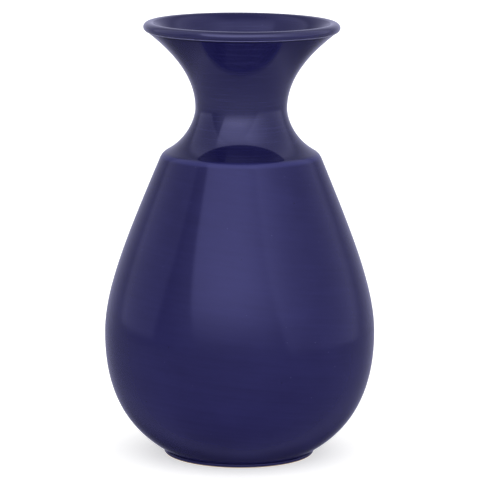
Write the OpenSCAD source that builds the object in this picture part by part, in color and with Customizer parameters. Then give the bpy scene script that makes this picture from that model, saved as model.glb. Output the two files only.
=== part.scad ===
// A pear-shaped stoneware vase on a low foot, with a waisted neck and a trumpet mouth.
// It is thrown in sections that are luted together, then glazed inside and out.
// Millimetres, +Z up. The origin is the centre of the ring that the foot stands on.
// Every outline runs up the outer glazed face; the clay lies one glaze coat inside it.

/* [Foot] */
// Diameter over the glazed foot
foot_d = 97.4; // [80:0.2:120]
// Height of the foot, from the table to the crease under the body
foot_h = 2.5; // [2:0.1:6]
// Width of the ring that the foot stands on
foot_w = 6; // [4:0.5:10]
// How far the crease lies inside the foot's outer face
foot_inset = 0.7; // [0.4:0.1:2]
// Height of the rounding at the top of the foot
foot_top_round = 0.9; // [0.4:0.1:2]
// Rounding of the foot's two bare edges
foot_edge_round = 0.35; // [0.2:0.05:0.4]
// Height above the table at which the glaze stops
glaze_line_h = 0.45; // [0.4:0.05:1.2]

/* [Body] */
// Diameter of the belly
belly_d = 174.4; // [140:0.2:220]
// Height from the crease of the foot up to the belly
belly_h = 76.5; // [60:0.5:110]
// Angle at which the wall leaves the foot, above level
foot_angle = 30; // [20:1:50]
// Fullness of the wall just above the foot, as a part of belly_h
foot_fullness = 0.35; // [0.2:0.01:0.5]
// Fullness of the wall just under the belly, as a part of belly_h
belly_fullness_low = 0.54; // [0.3:0.01:0.65]

/* [Shoulder] */
// Diameter at the shoulder edge, before it is rounded
shoulder_d = 101.4; // [80:0.2:130]
// Height from the belly up to the shoulder edge
shoulder_h = 116.5; // [90:0.5:150]
// Fullness of the wall just above the belly, as a part of shoulder_h
belly_fullness_high = 0.24; // [0.1:0.01:0.4]
// Length of the straight cone under the edge, as a part of shoulder_h
cone_length = 0.48; // [0.3:0.01:0.6]
// Slope of the cone under the edge, above level
cone_angle = 67.4; // [60:0.2:75]
// Slope of the shoulder just above the edge, above level
shoulder_angle = 29.4; // [20:0.2:40]
// Radius of the rounded shoulder edge
edge_r = 9; // [7:0.5:14]

/* [Neck] */
// Diameter of the waist
waist_d = 59; // [45:0.2:75]
// Height from the shoulder edge up to the waist
neck_h = 29.5; // [24:0.5:45]
// Length of the sloping shoulder, as a part of neck_h
cove_fullness_low = 0.52; // [0.3:0.01:0.6]
// Fullness of the cove under the waist, as a part of neck_h
cove_fullness_high = 0.25; // [0.15:0.01:0.5]

/* [Mouth] */
// Diameter over the rolled lip
mouth_d = 125.8; // [105:0.2:155]
// Height from the waist up to the top of the lip
mouth_h = 55; // [45:0.5:70]
// Slope of the flare where it meets the lip, above level
flare_angle = 38.6; // [30:0.2:50]
// Fullness of the flare above the waist, as a part of mouth_h
flare_fullness_low = 0.4; // [0.25:0.01:0.5]
// Fullness of the flare under the lip, as a part of mouth_h
flare_fullness_high = 0.29; // [0.15:0.01:0.4]
// Width of the rolled lip
lip_w = 8.2; // [7:0.2:10]
// Height of the rolled lip
lip_h = 6.6; // [5.4:0.2:9]

/* [Wall] */
// Thickness of the wall with both glaze coats
wall_t = 5.5; // [4.5:0.1:6.8]
// Thickness of the clay floor
base_t = 4.2; // [3.5:0.1:8]
// Diameter of the flat floor inside
floor_d = 72; // [60:1:86]
// Thickness of one glaze coat
glaze_t = 0.45; // [0.35:0.01:0.6]
// How far the V of each luted joint rises into the section above
joint_rise = 2; // [1:0.1:3]

/* [Hidden] */
$fn = 180;
CLAY = "#d9cdb8";
WET_CLAY = "#cbbda6";
GLAZE = "#2b2860";
// Straight steps along each curved stretch, along the shoulder edge and around the lip
CURVE_STEPS = 24;
EDGE_STEPS = 8;
LIP_STEPS = 24;
// Steps of the wall's two ends that the floor and the thickened lip take over
FLOOR_STEPS = 8;
LIP_BLEND_STEPS = 7;
// Angles round the lip at which the flare and the inside wall meet it
LIP_START = -70;
LIP_END = 125;
// Fillet between the glazed underside and the ring, and the share of a wall a rounding may take
BASE_FILLET = 0.8;
ROUND_SHARE = 0.9;

foot_r = foot_d / 2;
ring_out_r = foot_r - glaze_t;
ring_in_r = ring_out_r - foot_w;
ring_mid_r = ring_out_r - foot_w / 2;
belly_z = foot_h + belly_h;
edge_z = belly_z + shoulder_h;
waist_z = edge_z + neck_h;
total_h = waist_z + mouth_h;
lip_centre = [mouth_d / 2 - lip_w / 2, total_h - lip_h / 2];
clay_inner = wall_t - glaze_t;

// A point on a circle, and an outline's inward side: its direction turned a quarter turn left
function polar(angle) = [cos(angle), sin(angle)];
function inward(direction) = [-direction[1], direction[0]];
function reversed(list) = [for (i = [len(list) - 1 : -1 : 0]) list[i]];
function part_of(list, first, last) = [for (i = [first : last]) list[i]];

// Outlines end to end, with each point that two of them share kept once
function chained(lists) = [
    for (i = [0 : len(lists) - 1])
        for (j = [(i == 0 ? 0 : 1) : len(lists[i]) - 1]) lists[i][j]
];

// Points of a cubic Bezier curve, and the unit direction at each of them
function bezier_point(p, t) =
    pow(1 - t, 3) * p[0] + 3 * t * pow(1 - t, 2) * p[1] + 3 * t * t * (1 - t) * p[2] + pow(t, 3) * p[3];
function bezier_slope(p, t) =
    pow(1 - t, 2) * (p[1] - p[0]) + 2 * t * (1 - t) * (p[2] - p[1]) + t * t * (p[3] - p[2]);
function bezier(p, steps) = [for (i = [0 : steps]) bezier_point(p, i / steps)];

// A stretch of the wall is a list of [point, direction] pairs up its outer glazed face
function curved_stretch(p) = [
    for (i = [0 : CURVE_STEPS])
        let (slope = bezier_slope(p, i / CURVE_STEPS))
        [bezier_point(p, i / CURVE_STEPS), slope / norm(slope)]
];
function arc_stretch(centre, radius, from, to) = [
    for (i = [0 : EDGE_STEPS])
        let (turn = from + (to - from) * i / EDGE_STEPS)
        [centre + radius * polar(turn - 90), polar(turn)]
];
// The same stretch at a depth inside the outer face
function at_depth(stretch, depth) = [for (s = stretch) s[0] + depth * inward(s[1])];

// Corner points and directions of the outer face, from the foot to the lip
crease = [foot_r - foot_inset, foot_h];
belly = [belly_d / 2, belly_z];
waist = [waist_d / 2, waist_z];
edge_corner = [shoulder_d / 2, edge_z];
cone_dir = polar(180 - cone_angle);
shoulder_dir = polar(180 - shoulder_angle);
edge_tangent = edge_r * tan((cone_angle - shoulder_angle) / 2);
edge_start = edge_corner - edge_tangent * cone_dir;
edge_end = edge_corner + edge_tangent * shoulder_dir;
flare_end = lip_centre + [lip_w / 2 * cos(LIP_START), lip_h / 2 * sin(LIP_START)];

// The five stretches of the wall
lower_wall = curved_stretch([
    crease,
    crease + foot_fullness * belly_h * polar(foot_angle),
    belly - [0, belly_fullness_low * belly_h],
    belly
]);
upper_wall = curved_stretch([
    belly,
    belly + [0, belly_fullness_high * shoulder_h],
    edge_start - cone_length * shoulder_h * cone_dir,
    edge_start
]);
edge_wall = arc_stretch(
    edge_start + edge_r * inward(cone_dir), edge_r, 180 - cone_angle, 180 - shoulder_angle
);
cove_wall = curved_stretch([
    edge_end,
    edge_end + cove_fullness_low * neck_h * shoulder_dir,
    waist - [0, cove_fullness_high * neck_h],
    waist
]);
flare_wall = curved_stretch([
    waist,
    waist + [0, flare_fullness_low * mouth_h],
    flare_end - flare_fullness_high * mouth_h * polar(flare_angle),
    flare_end
]);

// The whole outer face at a depth, from the crease to the lip
function outer_line(depth) = chained([
    at_depth(lower_wall, depth),
    at_depth(upper_wall, depth),
    at_depth(edge_wall, depth),
    at_depth(cove_wall, depth),
    at_depth(flare_wall, depth)
]);

// The rolled lip's oval at a depth, from the flare over the top to the inside wall
function lip_point(depth, angle) =
    lip_centre + [(lip_w / 2 - depth) * cos(angle), (lip_h / 2 - depth) * sin(angle)];
function lip_slope(depth, angle) =
    let (slope = [-(lip_w / 2 - depth) * sin(angle), (lip_h / 2 - depth) * cos(angle)])
    slope / norm(slope);
function lip_line(depth) = [
    for (i = [0 : LIP_STEPS]) lip_point(depth, LIP_START + (LIP_END - LIP_START) * i / LIP_STEPS)
];

// Where the clay lies on the foot ring, and the top of the floor under its glaze
clay_crease = at_depth(lower_wall, glaze_t)[0];
ring_top_z = clay_crease[1];
floor_clay_z = ring_top_z + base_t;

// The floor's rise from its flat middle into the wall's inner face
floor_stop = lower_wall[FLOOR_STEPS];
function floor_rise(depth, floor_z) =
    let (start = [floor_d / 2, floor_z], end = floor_stop[0] + depth * inward(floor_stop[1]))
    let (reach = norm(end - start) / 3)
    bezier([start, start + [reach, 0], end - reach * floor_stop[1], end], FLOOR_STEPS);

// The inner wall's thickening into the lip; depth is the wall's, coat the lip's
blend_stop = flare_wall[CURVE_STEPS - LIP_BLEND_STEPS];
function lip_blend(depth, coat) =
    let (start = blend_stop[0] + depth * inward(blend_stop[1]), end = lip_point(coat, LIP_END))
    let (reach = norm(end - start) / 3)
    bezier(
        [start, start + reach * blend_stop[1], end + reach * lip_slope(coat, LIP_END), end],
        LIP_BLEND_STEPS
    );

// Inner faces of the lowest and the highest section
function lower_inner(depth, floor_z) = chained([
    floor_rise(depth, floor_z),
    at_depth(part_of(lower_wall, FLOOR_STEPS, CURVE_STEPS), depth)
]);
function flare_inner(depth, coat) = chained([
    at_depth(part_of(flare_wall, 0, CURVE_STEPS - LIP_BLEND_STEPS), depth),
    lip_blend(depth, coat)
]);

// The whole inner face, from the floor's flat middle to the lip
function inner_line(depth, coat, floor_z) = chained([
    lower_inner(depth, floor_z),
    at_depth(upper_wall, depth),
    at_depth(edge_wall, depth),
    at_depth(cove_wall, depth),
    flare_inner(depth, coat)
]);

// The tip of the V at a luted joint: halfway through the wall and a little up it
function joint_tip(s) = s[0] + wall_t / 2 * inward(s[1]) + joint_rise * s[1];
belly_tip = joint_tip(lower_wall[CURVE_STEPS]);
edge_tip = joint_tip(upper_wall[CURVE_STEPS]);
waist_tip = joint_tip(cove_wall[CURVE_STEPS]);
clay_lip = lip_line(glaze_t);
flare_clay_end = at_depth(flare_wall, glaze_t)[CURVE_STEPS];
lip_tip = (flare_clay_end + clay_lip[LIP_STEPS]) / 2 + joint_rise * polar(flare_angle);

// The glazed foot's side, from the top of its straight face round to the crease
top_round = min(foot_top_round, ROUND_SHARE * (foot_h - glaze_line_h - glaze_t));
foot_corner = [foot_r, foot_h];
foot_side = bezier(
    [foot_corner - [0, top_round], foot_corner - [0, top_round / 3], (foot_corner * 2 + crease) / 3, crease],
    6
);
// The clay under it is bevelled up to its own crease, so that the coat covers it in the glazed crease too
bevel_z = foot_h - top_round - glaze_t;

module turned(outline) {
    rotate_extrude() polygon(outline);
}

// The turned ring of clay that the vase stands on, bare on its underside
module foot_ring() {
    function edge(r, from) = [
        for (i = [0 : 6]) [r, foot_edge_round] + foot_edge_round * polar(from + 15 * i)
    ];
    color(CLAY) turned(chained([
        [[ring_in_r, ring_top_z], [ring_in_r, foot_edge_round]],
        edge(ring_in_r + foot_edge_round, 180),
        [[ring_in_r + foot_edge_round, 0], [ring_out_r - foot_edge_round, 0]],
        edge(ring_out_r - foot_edge_round, 270),
        [[ring_out_r, foot_edge_round], [ring_out_r, bevel_z], clay_crease],
        [clay_crease, [ring_mid_r, ring_top_z], [ring_in_r, ring_top_z]]
    ]));
}

// The slab of clay that closes the bottom, bevelled to fit inside the lowest section
module base_disc() {
    color(WET_CLAY) turned([
        [0, ring_top_z],
        [ring_mid_r, ring_top_z],
        [floor_d / 2, floor_clay_z],
        [0, floor_clay_z]
    ]);
}

// The bowl from the foot to the belly
module lower_body() {
    color(CLAY) turned(concat(
        at_depth(lower_wall, glaze_t),
        [belly_tip],
        reversed(lower_inner(clay_inner, floor_clay_z)),
        [[ring_mid_r, ring_top_z]]
    ));
}

// The cone from the belly to the start of the shoulder edge
module upper_body() {
    color(WET_CLAY) turned(concat(
        at_depth(upper_wall, glaze_t),
        [edge_tip],
        reversed(at_depth(upper_wall, clay_inner)),
        [belly_tip]
    ));
}

// The shoulder edge and the cove that sweeps up from it to the waist
module shoulder_collar() {
    color(CLAY) turned(concat(
        chained([at_depth(edge_wall, glaze_t), at_depth(cove_wall, glaze_t)]),
        [waist_tip],
        reversed(chained([at_depth(edge_wall, clay_inner), at_depth(cove_wall, clay_inner)])),
        [edge_tip]
    ));
}

// The trumpet from the waist to the crease under the lip
module mouth_flare() {
    color(WET_CLAY) turned(concat(
        at_depth(flare_wall, glaze_t),
        [lip_tip],
        reversed(flare_inner(clay_inner, glaze_t)),
        [waist_tip]
    ));
}

// The rolled lip
module rim_bead() {
    color(CLAY) turned(concat([flare_clay_end], clay_lip, [lip_tip]));
}

// The glaze coat on the outside, from just above the table over the lip
module outer_glaze() {
    glaze_foot = [ring_out_r, glaze_line_h];
    color(GLAZE) turned(concat(
        bezier(
            [
                glaze_foot,
                glaze_foot + [glaze_t, 0] / 2,
                glaze_foot + [glaze_t, glaze_t / 2],
                glaze_foot + [glaze_t, glaze_t]
            ],
            4
        ),
        foot_side,
        part_of(outer_line(0), 1, len(outer_line(0)) - 2),
        lip_line(0),
        reversed(clay_lip),
        reversed(outer_line(glaze_t)),
        [[ring_out_r, bevel_z]]
    ));
}

// The glaze coat that lines the inside, from the lip down to the floor
module liner_glaze() {
    color(GLAZE) turned(concat(
        [[0, floor_clay_z + glaze_t]],
        inner_line(wall_t, 0, floor_clay_z + glaze_t),
        reversed(inner_line(clay_inner, glaze_t, floor_clay_z)),
        [[0, floor_clay_z]]
    ));
}

// The glaze coat in the hollow of the foot, under the floor and down the ring's inside
module base_glaze() {
    inside_r = ring_in_r - glaze_t;
    under_z = ring_top_z - glaze_t;
    fillet = min(BASE_FILLET, ROUND_SHARE * (under_z - glaze_line_h - glaze_t));
    color(GLAZE) turned(concat(
        [[0, ring_top_z], [0, under_z]],
        [for (i = [0 : 6]) [inside_r - fillet, under_z - fillet] + fillet * polar(90 - 15 * i)],
        bezier(
            [
                [inside_r, glaze_line_h + glaze_t],
                [inside_r, glaze_line_h + glaze_t / 2],
                [inside_r + glaze_t / 2, glaze_line_h],
                [ring_in_r, glaze_line_h]
            ],
            4
        ),
        [[ring_in_r, ring_top_z]]
    ));
}

foot_ring();
base_disc();
lower_body();
upper_body();
shoulder_collar();
mouth_flare();
rim_bead();
outer_glaze();
liner_glaze();
base_glaze();
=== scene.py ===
import bpy
import numpy as np
from mathutils import Matrix, Vector


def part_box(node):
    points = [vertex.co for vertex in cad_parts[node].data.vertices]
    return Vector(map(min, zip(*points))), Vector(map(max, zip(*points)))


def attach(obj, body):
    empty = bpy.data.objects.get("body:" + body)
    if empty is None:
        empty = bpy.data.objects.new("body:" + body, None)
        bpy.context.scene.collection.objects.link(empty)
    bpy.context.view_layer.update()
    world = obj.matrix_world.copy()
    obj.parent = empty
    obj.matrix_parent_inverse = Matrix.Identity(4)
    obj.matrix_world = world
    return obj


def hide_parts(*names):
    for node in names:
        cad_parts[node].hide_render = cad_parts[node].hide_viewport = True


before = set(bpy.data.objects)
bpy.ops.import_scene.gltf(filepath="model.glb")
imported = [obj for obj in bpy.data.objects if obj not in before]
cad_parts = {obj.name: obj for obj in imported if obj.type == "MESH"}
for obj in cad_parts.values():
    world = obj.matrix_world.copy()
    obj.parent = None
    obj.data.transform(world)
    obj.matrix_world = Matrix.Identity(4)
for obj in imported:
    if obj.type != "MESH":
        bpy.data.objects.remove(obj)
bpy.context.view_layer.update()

# The camera looks down a little from two metres in front of the vase, through a long lens,
# and is held a touch off level.
CAMERA_PLACE = Vector((-0.0002, -2.0, 0.492))
CAMERA_AIM = Vector((-0.0002, 0.0, 0.139))
CAMERA_ROLL = np.radians(0.4)
camera = bpy.data.objects.new("camera", bpy.data.cameras.new("camera"))
camera.data.lens = 236.5
camera.data.sensor_width = 36.0
camera.data.clip_start = 0.1
camera.data.clip_end = 50.0
aimed = (CAMERA_AIM - CAMERA_PLACE).to_track_quat("-Z", "Y").to_matrix().to_4x4()
camera.matrix_world = Matrix.Translation(CAMERA_PLACE) @ aimed @ Matrix.Rotation(CAMERA_ROLL, 4, "Z")
bpy.context.scene.collection.objects.link(camera)
bpy.context.scene.camera = camera

# The thrown wall of pale stoneware: a foot ring, a base slab, bowl, cone, shoulder collar, flare and
# rolled lip, luted together while leather-hard. Glaze hides all of it but the dry underside of the ring,
# which is sponged smooth, shows its sand, and has gone a little toasted beside the glaze.
CLAY_NODES = (
    "foot_ring",
    "base_disc",
    "lower_body",
    "upper_body",
    "shoulder_collar",
    "mouth_flare",
    "rim_bead",
)


class Shade:
    """One socket of a shader tree, with arithmetic: each operator adds a Math node to the tree."""

    def __init__(self, tree, socket=None):
        self.tree, self.socket = tree, socket

    def add(self, kind, settings=None, sockets=None, output=0):
        """Adds a node of any type: first its settings, with a ramp's stops among them, then values or
        links for its sockets by name or number. Gives the numbered output."""
        node = self.tree.nodes.new(kind)
        for name, value in (settings or {}).items():
            if name == "stops":
                elements = node.color_ramp.elements
                while len(elements) < len(value):
                    elements.new(0.5)
                for element, (place, colour) in zip(elements, value):
                    element.position, element.color = place, colour
            else:
                setattr(node, name, value)
        for name, value in (sockets or {}).items():
            if isinstance(value, Shade):
                self.tree.links.new(value.socket, node.inputs[name])
            else:
                node.inputs[name].default_value = value
        return Shade(self.tree, node.outputs[output]) if node.outputs else None

    def maths(self, operation, *values):
        """A Math node on the given numbers and sockets."""
        return self.add("ShaderNodeMath", {"operation": operation}, dict(enumerate(values)))

    def __add__(self, other):
        return self.maths("ADD", self, other)

    def __sub__(self, other):
        return self.maths("SUBTRACT", self, other)

    def __rsub__(self, other):
        return self.maths("SUBTRACT", other, self)

    def __mul__(self, other):
        return self.maths("MULTIPLY", self, other)

    def __truediv__(self, other):
        return self.maths("DIVIDE", self, other)

    __radd__ = __add__
    __rmul__ = __mul__

    def between(self, low, high):
        """A smooth step: 0 at low, 1 at high."""
        sockets = {"Value": self, "From Min": low, "From Max": high}
        return self.add("ShaderNodeMapRange", {"interpolation_type": "SMOOTHSTEP"}, sockets)

    def parts(self):
        """The three numbers of a vector."""
        split = self.tree.nodes.new("ShaderNodeSeparateXYZ")
        self.tree.links.new(self.socket, split.inputs[0])
        return [Shade(self.tree, socket) for socket in split.outputs]

    def vector(self, x, y, z):
        """A vector of three numbers."""
        return self.add("ShaderNodeCombineXYZ", None, {0: x, 1: y, 2: z})

    def noise(self, place, scale, detail=2.0, roughness=0.5):
        """Soft noise from 0 to 1."""
        sockets = {"Vector": place, "Scale": scale, "Detail": detail, "Roughness": roughness}
        return self.add("ShaderNodeTexNoise", None, sockets)

    def specks(self, place, scale, size):
        """Round dots, 1 in each middle and 0 outside, one to a cell of a scattered grid."""
        sockets = {"Vector": place, "Scale": scale, "Randomness": 1.0}
        return 1.0 - self.add("ShaderNodeTexVoronoi", None, sockets).between(size * 0.5, size)

    def colours(self, first, second, share):
        """The colour that lies between two colours by a share."""
        return self.add("ShaderNodeMix", {"data_type": "RGBA"}, {0: share, 6: first, 7: second}, 2)


def new_material(name):
    """A material with an empty tree, and a Shade to start it from."""
    material = bpy.data.materials.new(name)
    material.use_nodes = True
    material.node_tree.nodes.clear()
    return material, Shade(material.node_tree)


fired_clay, tree = new_material("fired_clay")
place = tree.add("ShaderNodeTexCoord", output=3)
x, y, z = place.parts()
radius = tree.maths("SQRT", x * x + y * y)
sand = tree.noise(place, 1400.0, 3.0, 0.6)
mottle = tree.noise(place, 90.0, 3.0)
turning = tree.noise(tree.vector(radius * 900.0, z * 900.0, mottle * 0.6), 1.0, 2.0)
iron = tree.specks(place, 420.0, 0.16) * tree.noise(place, 160.0).between(0.48, 0.6)
TOASTED_FROM, TOASTED_TO = 0.0462, 0.0484
toasted = radius.between(TOASTED_FROM, TOASTED_TO)
body = tree.colours((0.60, 0.50, 0.37, 1), (0.76, 0.68, 0.55, 1), mottle * 0.6 + sand * 0.4)
body = tree.colours(body, (0.45, 0.29, 0.17, 1), toasted * 0.45)
body = tree.colours(body, (0.16, 0.09, 0.05, 1), iron * 0.8)
relief = sand * 0.6 + turning * 0.8
bump = tree.add("ShaderNodeBump", None, {"Strength": 0.5, "Distance": 0.0002, "Height": relief})
surface = tree.add(
    "ShaderNodeBsdfPrincipled",
    None,
    {"Base Color": body, "Roughness": 0.8 + sand * 0.15, "Specular IOR Level": 0.3, "Normal": bump},
)
tree.add("ShaderNodeOutputMaterial", None, {"Surface": surface})
for name in CLAY_NODES:
    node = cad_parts[name]
    node.data.materials.clear()
    node.data.materials.append(fired_clay)

# The glaze outside: one coat of deep indigo, brushed on over the biscuit from just above the table, up
# the bowl, the cone, the shoulder edge, the cove and the flare, and over the rolled lip. It has melted to
# a smooth gloss that follows the potter's slow unevenness.
MM = 0.001
COAT = 0.45 * MM
SUNK = 0.06 * MM
WALL = 5.5 * MM
foot_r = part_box("foot_ring")[1].x + COAT
foot_h = 2.5 * MM
GLAZE_LINE = 0.45 * MM
BEVEL_TOP = 1.15 * MM
FOOT_INSET = 0.7 * MM
FOOT_ROUND = 0.9 * MM
top_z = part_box("outer_glaze")[1].z
belly = np.array([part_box("outer_glaze")[1].x, 79.0 * MM])
edge_corner = np.array([50.7, 195.5]) * MM
waist = np.array([29.5, 225.0]) * MM
lip_half = np.array([4.1, 3.3]) * MM
lip_centre = np.array([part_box("rim_bead")[1].x + COAT, top_z]) - lip_half
LIP_START, LIP_END = -70.0, 125.0
CONE_ANGLE, SHOULDER_ANGLE, FLARE_ANGLE = 67.4, 29.4, 38.6
EDGE_R = 9.0 * MM
UP = np.array([0.0, 1.0])


def polar(degrees):
    """The point of the unit circle at an angle: (cosine, sine)."""
    turn = np.radians(np.asarray(degrees, float))
    return np.stack([np.cos(turn), np.sin(turn)], axis=-1)


def inward(way):
    """A direction turned a quarter turn left: (-y, x), which is into the wall on the way up."""
    return np.stack([-way[..., 1], way[..., 0]], axis=-1)


def bend(corners, share):
    """Cubic Bezier curve through four corners at shares t of its run: (1-t)^3 a + 3t(1-t)^2 b +
    3t^2(1-t) c + t^3 d, and the unit direction of its derivative at each point."""
    a, b, c, d = (np.asarray(corner, float) for corner in corners)
    t = np.asarray(share, float)[:, None]
    points = (1 - t) ** 3 * a + 3 * t * (1 - t) ** 2 * b + 3 * t**2 * (1 - t) * c + t**3 * d
    ways = (1 - t) ** 2 * (b - a) + 2 * t * (1 - t) * (c - b) + t**2 * (d - c)
    return points, ways / np.linalg.norm(ways, axis=1, keepdims=True)


def oval(centre, half, degrees):
    """Part of an ellipse: the centre plus the half sizes times (cosine, sine), and the unit direction of
    its derivative, (-width sine, height cosine)."""
    points = centre + half * polar(degrees)
    ways = half * polar(np.asarray(degrees, float) + 90)
    return points, ways / np.linalg.norm(ways, axis=1, keepdims=True)


def joined(*stretches):
    """Stretches of an outline end to end, with each end that two of them share kept once."""
    points = [stretch[0][min(i, 1) :] for i, stretch in enumerate(stretches)]
    ways = [stretch[1][min(i, 1) :] for i, stretch in enumerate(stretches)]
    return np.concatenate(points), np.concatenate(ways)


def inside(stretch, depth):
    """A stretch moved into the wall: each point plus the depth times its inward direction."""
    return stretch[0] + depth * inward(stretch[1]), stretch[1]


def even(count):
    """Even shares from 0 to 1."""
    return np.linspace(0.0, 1.0, count)


cone_way, shoulder_way = polar(180 - CONE_ANGLE), polar(180 - SHOULDER_ANGLE)
edge_tangent = EDGE_R * np.tan(np.radians((CONE_ANGLE - SHOULDER_ANGLE) / 2))
edge_start = edge_corner - edge_tangent * cone_way
edge_end = edge_corner + edge_tangent * shoulder_way
edge_centre = edge_start + EDGE_R * inward(cone_way)
crease = np.array([foot_r - FOOT_INSET, foot_h])
flare_end = lip_centre + lip_half * polar(LIP_START)
bowl_rise, cone_rise = belly[1] - foot_h, edge_corner[1] - belly[1]
cove_rise, flare_rise = waist[1] - edge_corner[1], top_z - waist[1]
BOWL = (crease, crease + 0.35 * bowl_rise * polar(30), belly - 0.54 * bowl_rise * UP, belly)
CONE = (belly, belly + 0.24 * cone_rise * UP, edge_start - 0.48 * cone_rise * cone_way, edge_start)
COVE = (edge_end, edge_end + 0.52 * cove_rise * shoulder_way, waist - 0.25 * cove_rise * UP, waist)
FLARE = (
    waist,
    waist + 0.4 * flare_rise * UP,
    flare_end - 0.29 * flare_rise * polar(FLARE_ANGLE),
    flare_end,
)


def shoulder_edge(count):
    """The rounded shoulder edge: an arc between the cone's slope and the cove's."""
    return oval(
        edge_centre,
        np.array([EDGE_R, EDGE_R]),
        np.linspace(90 - CONE_ANGLE, 90 - SHOULDER_ANGLE, count),
    )


def unevenness(along, turns):
    """How far a hand-thrown face lies under its true outline: slow swells, each a sine of the turn times
    a sine of the place along, and the fine spiral of the fingers, a sine of the place less the turn."""
    rng = np.random.default_rng(11)
    place = along[:, None]
    depth = np.zeros((len(along), len(turns)))
    for _ in range(12):
        lobes = rng.integers(1, 6)
        wave = rng.uniform(28, 95) * MM
        phase, lag, lean = rng.uniform(0, 2 * np.pi, 3)
        around = np.sin(lobes * turns[None, :] + phase + 0.6 * np.sin(place / wave + lean))
        depth += 0.0035 * MM * around * np.sin(2 * np.pi * place / wave + lag)
    spiral = np.sin(2 * np.pi * place / (6.1 * MM) - turns[None, :] + 1.5 * np.sin(place / (31 * MM)))
    depth += 0.0016 * MM * spiral * (0.6 + 0.4 * np.sin(place / (17 * MM)))
    return depth


def turned_coat(name, seen, hidden, along, columns, hidden_first=False):
    """A coat of glaze turned about the axis: each point of its outline goes round at its own radius,
    (r cos, r sin, z). The seen face lies a little uneven under its outline, and the hidden one on the
    clay. An outline that starts and ends on the axis closes there in two fans, any other on itself."""
    turns = np.linspace(0, 2 * np.pi, columns, endpoint=False)
    depth = SUNK + unevenness(along, turns)
    into = inward(seen[1])
    parts = [
        np.stack([seen[0][:, :1] + depth * into[:, :1], seen[0][:, 1:] + depth * into[:, 1:]], axis=-1),
        np.repeat(hidden[:, None, :], columns, axis=1),
    ]
    lines = [seen[0], hidden]
    if hidden_first:
        parts, lines = parts[::-1], lines[::-1]
    ring, line = np.concatenate(parts), np.concatenate(lines)
    length = np.concatenate([[0], np.cumsum(np.linalg.norm(np.diff(line, axis=0), axis=1))])
    capped = line[0, 0] < 1e-9
    if capped:
        poles, ring = ring[[0, -1], 0], ring[1:-1]
        pole_length, length = length[[0, -1]], length[1:-1]
    rows = len(ring)
    r, height = ring[..., 0], ring[..., 1]
    vertices = np.stack([r * np.cos(turns), r * np.sin(turns), height], axis=-1).reshape(-1, 3)
    i = np.arange(rows - 1 if capped else rows)[:, None]
    j = np.arange(columns)[None, :]
    above, beside = (i + 1) % rows, (j + 1) % columns
    corners = [i * columns + j, i * columns + beside, above * columns + beside, above * columns + j]
    faces = np.stack(corners, axis=-1).reshape(-1, 4).tolist()
    step = np.stack([j, j + 1, j + 1, j], axis=-1) / columns + 0.0 * i[..., None]
    length = np.append(length, length[-1] + WALL)
    run = length[np.stack([i, i, i + 1, i + 1], axis=-1)] + 0.0 * j[..., None]
    uv = [np.stack([step, run], axis=-1).reshape(-1, 2)]
    if capped:
        spoke, last = np.arange(columns), (rows - 1) * columns
        after = (spoke + 1) % columns
        pole = np.full(columns, len(vertices))
        faces += np.stack([pole, after, spoke], axis=-1).tolist()
        faces += np.stack([pole + 1, last + spoke, last + after], axis=-1).tolist()
        for end, near, first, second in ((0, 0, 1.0, 0.0), (1, -2, 0.0, 1.0)):
            share = np.stack([spoke + 0.5, spoke + first, spoke + second], axis=-1) / columns
            fan_run = np.tile([pole_length[end], length[near], length[near]], (columns, 1))
            uv.append(np.stack([share, fan_run], axis=-1).reshape(-1, 2))
        poles = np.stack([0 * poles[:, 0], 0 * poles[:, 0], poles[:, 1]], axis=-1)
        vertices = np.concatenate([vertices, poles])
    mesh = bpy.data.meshes.new(name)
    mesh.from_pydata(vertices, [], faces)
    mesh.shade_smooth()
    mesh.set_sharp_from_angle(angle=np.radians(35))
    layer = mesh.uv_layers.new(name="turned")
    layer.data.foreach_set("uv", np.concatenate(uv).astype(np.float32).ravel())
    piece = bpy.data.objects.new(name, mesh)
    bpy.context.scene.collection.objects.link(piece)
    return piece


def glaze_colours(tree, place, turned):
    """The colour of the brushed coat. Fine lines run round the pot where the brush dragged, tilted a
    little to and fro, over slow clouds of thicker and thinner glaze."""
    x, y, z = place.parts()
    radius = tree.maths("SQRT", x * x + y * y) + 0.001
    run = turned.parts()[1]
    around, across = x / radius, y / radius
    tilt = run + around * 0.010 + across * 0.005
    stroke = tree.noise(tree.vector(around * 1.6, across * 1.6, tilt * 420.0), 1.0, 4.0, 0.65)
    sweep = tree.noise(tree.vector(around * 2.5, across * 2.5, tilt * 75.0), 1.0, 3.0, 0.5)
    cloud = tree.noise(place, 26.0, 4.0, 0.55)
    thin = stroke * 0.35 + sweep * 0.25 + cloud * 0.4
    return thin, stroke, cloud


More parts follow.
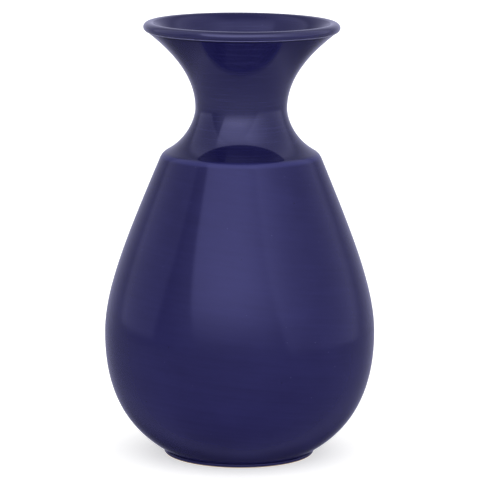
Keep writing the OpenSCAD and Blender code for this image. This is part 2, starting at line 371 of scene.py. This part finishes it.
def indigo(name, neck_gloss):
    """The fired glaze. It melts to a second glassy layer over the neck, as strong as the neck gloss. A pale
    band along the shoulder edge and a pale line on the lip's lower edge are partly glaze run thin and
    partly painted highlights of the light those rounded edges catch. The crease below the lip is painted
    dark and left without the glassy layer: partly thick glaze, partly painted shade."""
    material, tree = new_material(name)
    place = tree.add("ShaderNodeTexCoord", output=3)
    turned = tree.add("ShaderNodeUVMap", {"uv_map": "turned"})
    x, y, z = place.parts()
    radius = tree.maths("SQRT", x * x + y * y)
    thin, stroke, cloud = glaze_colours(tree, place, turned)
    neck = z.between(194.5 * MM, 197.5 * MM)
    glassy = 0.4 + 0.5 * z.between(212.0 * MM, 232.0 * MM)
    outside_lip = radius.between(lip_centre[0], lip_centre[0] + 0.8 * MM)
    lip_edge = top_z - 5.8 * MM
    # Painted highlight: a thin pale band on the lip's lower edge, partly glaze run thin there and partly
    # the light that the tight edge catches.
    thin_lip_and_highlight = z.between(lip_edge - 0.4 * MM, lip_edge) * (1.0 - z.between(lip_edge, lip_edge + 0.5 * MM))
    # Painted shade: a dark band in the crease below the lip, partly thick glaze and partly the shade that
    # gathers there. The glassy layer is left off it too.
    pooled_and_shaded = z.between(lip_edge - 2.4 * MM, lip_edge - 1.2 * MM) * (
        1.0 - z.between(lip_edge - 0.7 * MM, lip_edge - 0.3 * MM)
    )
    pinholes = tree.specks(place, 95.0, 0.05) * tree.noise(place, 31.0).between(0.5, 0.56)
    pale_specks = tree.specks(place, 150.0, 0.06) * tree.noise(place, 57.0).between(0.5, 0.58)
    colour = tree.colours((0.008, 0.007, 0.045, 1), (0.012, 0.011, 0.062, 1), thin.between(0.3, 0.7))
    colour = tree.colours(colour, (0.003, 0.0026, 0.036, 1), neck * neck_gloss * 0.65)
    # Painted highlight: a pale band along the rounded shoulder edge, partly glaze breaking thin and partly
    # standing in for the overhead light's reflection on that edge.
    shoulder_break_and_highlight = z.between(192.5 * MM, 195.0 * MM) * (1.0 - z.between(195.5 * MM, 197.0 * MM))
    colour = tree.colours(colour, (0.035, 0.036, 0.15, 1), shoulder_break_and_highlight * neck_gloss * 0.6)
    colour = tree.colours(colour, (0.002, 0.002, 0.012, 1), pinholes)
    colour = tree.colours(colour, (0.06, 0.06, 0.16, 1), pale_specks * 0.6)
    # The painted highlight on the lip's lower edge, then the painted shade in the crease below it.
    colour = tree.colours(colour, (0.16, 0.16, 0.3, 1), thin_lip_and_highlight * outside_lip)
    colour = tree.colours(colour, (0.003, 0.003, 0.02, 1), pooled_and_shaded * outside_lip * 0.9)
    lines = tree.noise(tree.vector(x * 30.0, y * 30.0, z * 1500.0), 1.0, 3.0, 0.6).between(0.5, 0.75)
    colour = tree.colours(colour, (0.03, 0.03, 0.11, 1), lines * neck * 0.35)
    relief = stroke * 0.15 + cloud * 0.85 - pinholes * 0.6
    bump = tree.add("ShaderNodeBump", None, {"Strength": 0.04, "Distance": 0.0003, "Height": relief})
    surface = tree.add(
        "ShaderNodeBsdfPrincipled",
        None,
        {
            "Base Color": colour,
            "Roughness": 0.06 + 0.07 * cloud + 0.02 * stroke,
            "IOR": 1.5,
            "Specular Tint": (0.62, 0.62, 1.0, 1.0),
            "Coat Weight": neck * neck_gloss * glassy * (1.0 - pooled_and_shaded * outside_lip),
            "Coat Roughness": 0.04,
            "Normal": bump,
        },
    )
    tree.add("ShaderNodeOutputMaterial", None, {"Surface": surface})
    return material


indigo_glaze = indigo("indigo_glaze", 1.0)

glaze_foot = np.array([foot_r - COAT, GLAZE_LINE])
foot_start = bend(
    (
        glaze_foot,
        glaze_foot + [COAT / 2, 0],
        glaze_foot + [COAT, COAT / 2],
        glaze_foot + [COAT, COAT],
    ),
    even(6),
)
foot_corner = np.array([foot_r, foot_h])
foot_side = bend(
    (
        foot_corner - FOOT_ROUND * UP,
        foot_corner - FOOT_ROUND / 3 * UP,
        (foot_corner * 2 + crease) / 3,
        crease,
    ),
    even(8),
)
rim_turns = np.concatenate([np.linspace(LIP_START, 116, 36), np.linspace(117, LIP_END, 9)])
rim = oval(lip_centre, lip_half, rim_turns)
outer_face = joined(
    foot_start,
    foot_side,
    bend(BOWL, even(84)),
    bend(CONE, even(96)),
    shoulder_edge(16),
    bend(COVE, even(40)),
    bend(FLARE, even(56)),
    rim,
)
clay_side = [
    bend(BOWL, even(14)),
    bend(CONE, even(14)),
    shoulder_edge(4),
    bend(COVE, even(8)),
    bend(FLARE, even(10)),
]
outer_back = np.concatenate(
    [
        oval(lip_centre, lip_half - COAT, np.linspace(LIP_END, LIP_START, 12))[0],
        inside(joined(*clay_side), COAT)[0][::-1],
        [[foot_r - COAT, BEVEL_TOP]],
    ]
)
outer_coat = turned_coat("outer_glaze_coat", outer_face, outer_back, outer_face[0][:, 1], 228)
outer_coat.data.materials.append(indigo_glaze)
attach(outer_coat, "root")
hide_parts("outer_glaze")

# The glaze inside: poured in, swilled round and poured out, so it lines the flare, the throat, the belly
# and the floor in one coat, and meets the outer coat on the inner side of the lip.
floor_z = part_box("base_disc")[1].z + COAT
FLOOR_R = 36.0 * MM
# Shares of the bowl and of the flare at which the floor and the lip take over the inner face
RISE_STOP = 8 / 24
BLEND_STOP = 17 / 24


def liner_line(depth, coat, floor_height, rows):
    """The inner face at a depth in the wall: flat floor, a Bezier rise into the bowl, the wall's own
    outline moved inwards, and a Bezier that thickens into the lip. Runs from the axis to the lip."""
    stop, stop_way = (part[0] for part in bend(BOWL, [RISE_STOP]))
    start = np.array([FLOOR_R, floor_height])
    end = stop + depth * inward(stop_way)
    reach = np.linalg.norm(end - start) / 3
    rise = (start, start + [reach, 0], end - reach * stop_way, end)
    stop, stop_way = (part[0] for part in bend(FLARE, [BLEND_STOP]))
    low = stop + depth * inward(stop_way)
    high, high_way = (part[0] for part in oval(lip_centre, lip_half - coat, [LIP_END]))
    reach = np.linalg.norm(high - low) / 3
    blend = (low, low + reach * stop_way, high + reach * high_way, high)
    flat = np.stack([FLOOR_R * even(rows[0]), np.full(rows[0], floor_height)], axis=1)
    blended = bend(blend, even(rows[7]))
    return joined(
        (flat, np.tile([1.0, 0.0], (rows[0], 1))),
        bend(rise, even(rows[1])),
        inside(bend(BOWL, np.linspace(RISE_STOP, 1, rows[2])), depth),
        inside(bend(CONE, even(rows[3])), depth),
        inside(shoulder_edge(rows[4]), depth),
        inside(bend(COVE, even(rows[5])), depth),
        inside(bend(FLARE, np.linspace(0, BLEND_STOP, rows[6])), depth),
        blended,
    )


face_points, face_ways = liner_line(WALL, 0.0, floor_z, (14, 24, 40, 60, 10, 34, 40, 30))
back_points, _ = liner_line(WALL - COAT, COAT, floor_z - COAT, (4, 8, 10, 12, 4, 8, 8, 8))
liner_face = (face_points[::-1], -face_ways[::-1])
liner_coat = turned_coat(
    "liner_glaze_coat", liner_face, back_points, face_points[::-1, 1], 228, hidden_first=True
)
liner_coat.data.materials.append(indigo("indigo_lining", 0.3))
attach(liner_coat, "root")
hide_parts("liner_glaze")

# The glaze under the vase: brushed thinly over the turned hollow inside the foot ring and down the ring's
# inner side, and wiped off short of the table so that the pot does not stick to the kiln shelf.
ring_in_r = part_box("base_glaze")[1].x
inside_r = ring_in_r - COAT
ring_top_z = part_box("base_disc")[0].z
under_z = ring_top_z - COAT
FILLET = 0.8 * MM
hollow_r = inside_r - FILLET
flat = (
    np.stack([hollow_r * even(60), np.full(60, under_z)], axis=1),
    np.tile([1.0, 0.0], (60, 1)),
)
turn = 90 - 90 * even(8)
corner = (np.array([hollow_r, under_z - FILLET]) + FILLET * polar(turn), polar(turn - 90))
drip = bend(
    (
        [inside_r, GLAZE_LINE + COAT],
        [inside_r, GLAZE_LINE + COAT / 2],
        [inside_r + COAT / 2, GLAZE_LINE],
        [ring_in_r, GLAZE_LINE],
    ),
    even(6),
)
side = (
    np.stack([np.full(4, inside_r), np.linspace(under_z - FILLET, GLAZE_LINE + COAT, 4)], axis=1),
    np.tile([0.0, -1.0], (4, 1)),
)
base_face = joined(flat, corner, side, drip)
BACK_LOW = 1.6 * MM
base_back = np.array(
    [[ring_in_r, BACK_LOW], [ring_in_r, ring_top_z], [ring_in_r / 2, ring_top_z], [0, ring_top_z]]
)
base_coat = turned_coat("base_glaze_coat", base_face, base_back, base_face[0][:, 0], 180)
base_coat.data.materials.append(indigo_glaze)
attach(base_coat, "root")
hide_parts("base_glaze")

# The table: a plain sheet of white paper, much larger than the vase, which shows only the soft shadow
# that gathers where the foot stands.
TABLE_HALF = 6.0
table_mesh = bpy.data.meshes.new("table")
table_corners = [(TABLE_HALF * x, TABLE_HALF * y, 0) for x, y in ((-1, -1), (1, -1), (1, 1), (-1, 1))]
table_mesh.from_pydata(table_corners, [], [(0, 1, 2, 3)])
table = bpy.data.objects.new("table", table_mesh)
bpy.context.scene.collection.objects.link(table)
paper, tree = new_material("paper")
surface = tree.add(
    "ShaderNodeBsdfPrincipled",
    None,
    {
        "Base Color": (0.8, 0.8, 0.8, 1),
        "Roughness": 1.0,
        "Specular IOR Level": 0.0,
        "Emission Color": (1, 1, 1, 1),
        "Emission Strength": 0.5,
    },
)
tree.add("ShaderNodeOutputMaterial", None, {"Surface": surface})
table_mesh.materials.append(paper)
table.visible_glossy = False

# The light: a plain studio with a large diffuser overhead and a softer one filling in around it, one low
# in front, one at the right, a narrow one at the left, and the pale table below. The gloss of the glaze
# shows each of them, and the light that falls on its colour is stronger from above and in front.
studio = bpy.data.worlds.new("studio")
bpy.context.scene.world = studio
studio.use_nodes = True
studio.node_tree.nodes.clear()
tree = Shade(studio.node_tree)
x, y, z = tree.add("ShaderNodeTexCoord", output=0).parts()


def softbox(azimuth, elevation, half_width, half_height, left=0.4, right=0.4, foot=0.4, head=0.4):
    """A rectangular diffuser far off, square to its azimuth (0 in front, 90 at the right) and elevation,
    with half sizes given as tangents. Each side is a plane through the vase, and the glow is the product
    of a smooth step across each, as wide as that side's blur."""
    a, e = np.radians([azimuth, elevation])
    ahead = np.array([np.sin(a) * np.cos(e), -np.cos(a) * np.cos(e), np.sin(e)])
    right_way = np.array([np.cos(a), np.sin(a), 0.0])
    up_way = np.array([-np.sin(a) * np.sin(e), np.cos(a) * np.sin(e), np.cos(e)])
    glow = 1.0
    for way, half_size, blur in (
        (right_way, half_width, left),
        (-right_way, half_width, right),
        (up_way, half_height, foot),
        (-up_way, half_height, head),
    ):
        side = way + half_size * ahead
        across = x * float(side[0]) + y * float(side[1]) + z * float(side[2])
        glow = glow * across.between(-blur / 2, blur / 2)
    return glow


facing = 0.5 - 0.5 * y
facing = facing * facing
horizon_blur = 0.02 + 0.16 * facing * facing
over_table = ((z + 0.145) / horizon_blur).between(-1, 1)
down = z.maths("MINIMUM", z, 0.0)
backdrop = 0.2 * y.between(0.6, 1.0) * z.between(-0.6, -0.2)
under_the_bowl = (y * down).between(-0.5, -0.25)
below = (0.5 - 0.2 * y) * (1.0 - 0.4 * down * down) * (0.2 + 0.8 * under_the_bowl) + backdrop
above = (
    0.4
    + 1.25 * softbox(-12, 42, 0.65, 0.55, left=0.1, right=1.1, foot=0.7, head=0.9)
    + 0.7 * softbox(5, 42, 1.3, 0.7, left=1.5, right=1.5, foot=0.8, head=0.9)
    + 0.45 * softbox(80, 30, 1.0, 1.0, left=0.15, right=0.4, foot=0.08, head=0.4)
    + 0.45 * softbox(0, 5, 1.0, 0.5, left=1.5, right=1.5, foot=0.4, head=0.5)
    + 0.4 * softbox(-100, 35, 0.5, 0.8, left=0.2, right=0.1, foot=0.08, head=0.5)
    + backdrop
)
mirrored = below + over_table * (above - below)
soft = 0.92 + 0.15 * x - 0.3 * y + 0.32 * z
ray = tree.add("ShaderNodeLightPath").socket.node
seen = Shade(studio.node_tree, ray.outputs["Is Camera Ray"])
glossy = Shade(studio.node_tree, ray.outputs["Is Glossy Ray"])
white = tree.add("ShaderNodeBackground", None, {"Color": (1, 1, 1, 1), "Strength": 1.05})
spread = tree.add("ShaderNodeBackground", None, {"Color": (1, 1, 1, 1), "Strength": soft})
panels = tree.add("ShaderNodeBackground", None, {"Color": (0.7, 0.7, 1, 1), "Strength": mirrored})
lit = tree.add("ShaderNodeMixShader", None, {0: glossy, 1: spread, 2: panels})
light = tree.add("ShaderNodeMixShader", None, {0: seen, 1: lit, 2: white})
tree.add("ShaderNodeOutputWorld", None, {"Surface": light})
bpy.context.scene.view_settings.view_transform = "Standard"
